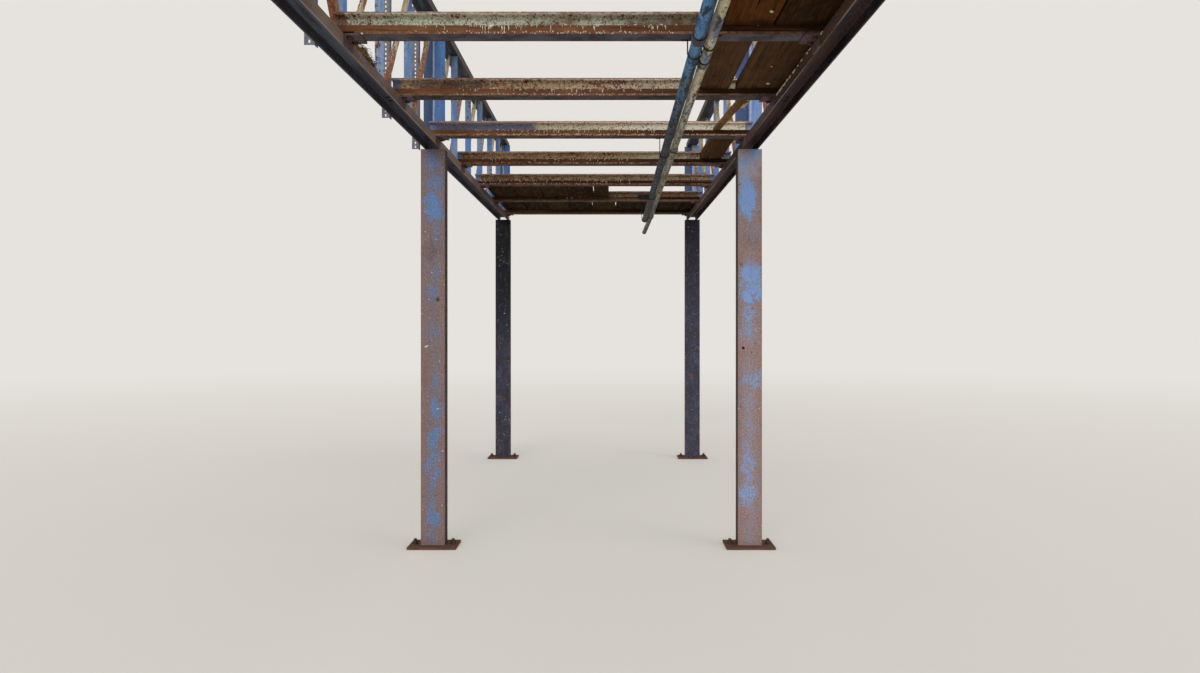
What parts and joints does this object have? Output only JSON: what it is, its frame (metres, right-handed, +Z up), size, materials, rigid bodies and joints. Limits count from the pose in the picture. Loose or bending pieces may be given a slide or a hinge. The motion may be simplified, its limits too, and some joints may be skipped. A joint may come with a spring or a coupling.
{
  "type": "steel mezzanine platform",
  "caption": "Derelict steel mezzanine platform on columns, with lattice side girders, cross joists, loose deck boards and two hung pipes.",
  "frame": {"origin": "on the floor, at the centre of the platform's outline", "axes": "+X across the platform to the right, +Y along it to the far end, +Z up"},
  "size_m": [2.305, 6.33, 3.351],
  "materials": {
    "column_paint": "worn primer with blue patches",
    "base_steel": "rusty",
    "post_paint": "worn gloss blue",
    "chord_paint": "dull dark paint",
    "joist_paint": "peeling with rust",
    "cleat_steel": "rusty",
    "batten_timber": "weathered",
    "board_timber": "weathered, stained",
    "upright_paint": "worn light blue",
    "diagonal_paint": "rust and cream",
    "slotted_steel": "dull grey",
    "blue_paint": "peeling",
    "cream_paint": "peeling",
    "fitting_iron": "dull black",
    "strap_steel": "dull"
  },
  "bodies": {
    "root": {"front_left_column": "column_paint", "front_left_base_plate": "base_steel", "front_left_post": "post_paint", "front_right_column": "column_paint", "front_right_base_plate": "base_steel", "front_right_post": "post_paint", "rear_left_column": "column_paint", "rear_left_base_plate": "base_steel", "rear_left_post": "post_paint", "rear_right_column": "column_paint", "rear_right_base_plate": "base_steel", "rear_right_post": "post_paint", "left_bottom_chord": "chord_paint", "left_top_chord": "chord_paint", "left_uprights": "upright_paint", "left_diagonals": "diagonal_paint", "left_seat_cleats": "cleat_steel", "right_bottom_chord": "chord_paint", "right_top_chord": "chord_paint", "right_uprights": "upright_paint", "right_diagonals": "diagonal_paint", "right_seat_cleats": "cleat_steel", "joist_1": "joist_paint", "joist_2": "joist_paint", "joist_3": "joist_paint", "joist_4": "joist_paint", "joist_5": "joist_paint", "joist_6": "joist_paint", "joist_7": "joist_paint", "joist_battens": "batten_timber", "bay_0_boards": "board_timber", "bay_1_boards": "board_timber", "bay_3_boards": "board_timber", "bay_5_boards": "board_timber", "bay_6_boards": "board_timber", "bay_2_strips": "board_timber", "near_sleeper": "board_timber", "slotted_posts": "slotted_steel", "blue_pipe": "blue_paint", "cream_pipe": "cream_paint", "pipe_tee": "fitting_iron", "pipe_hangers": "strap_steel"}
  },
  "joints": []
}
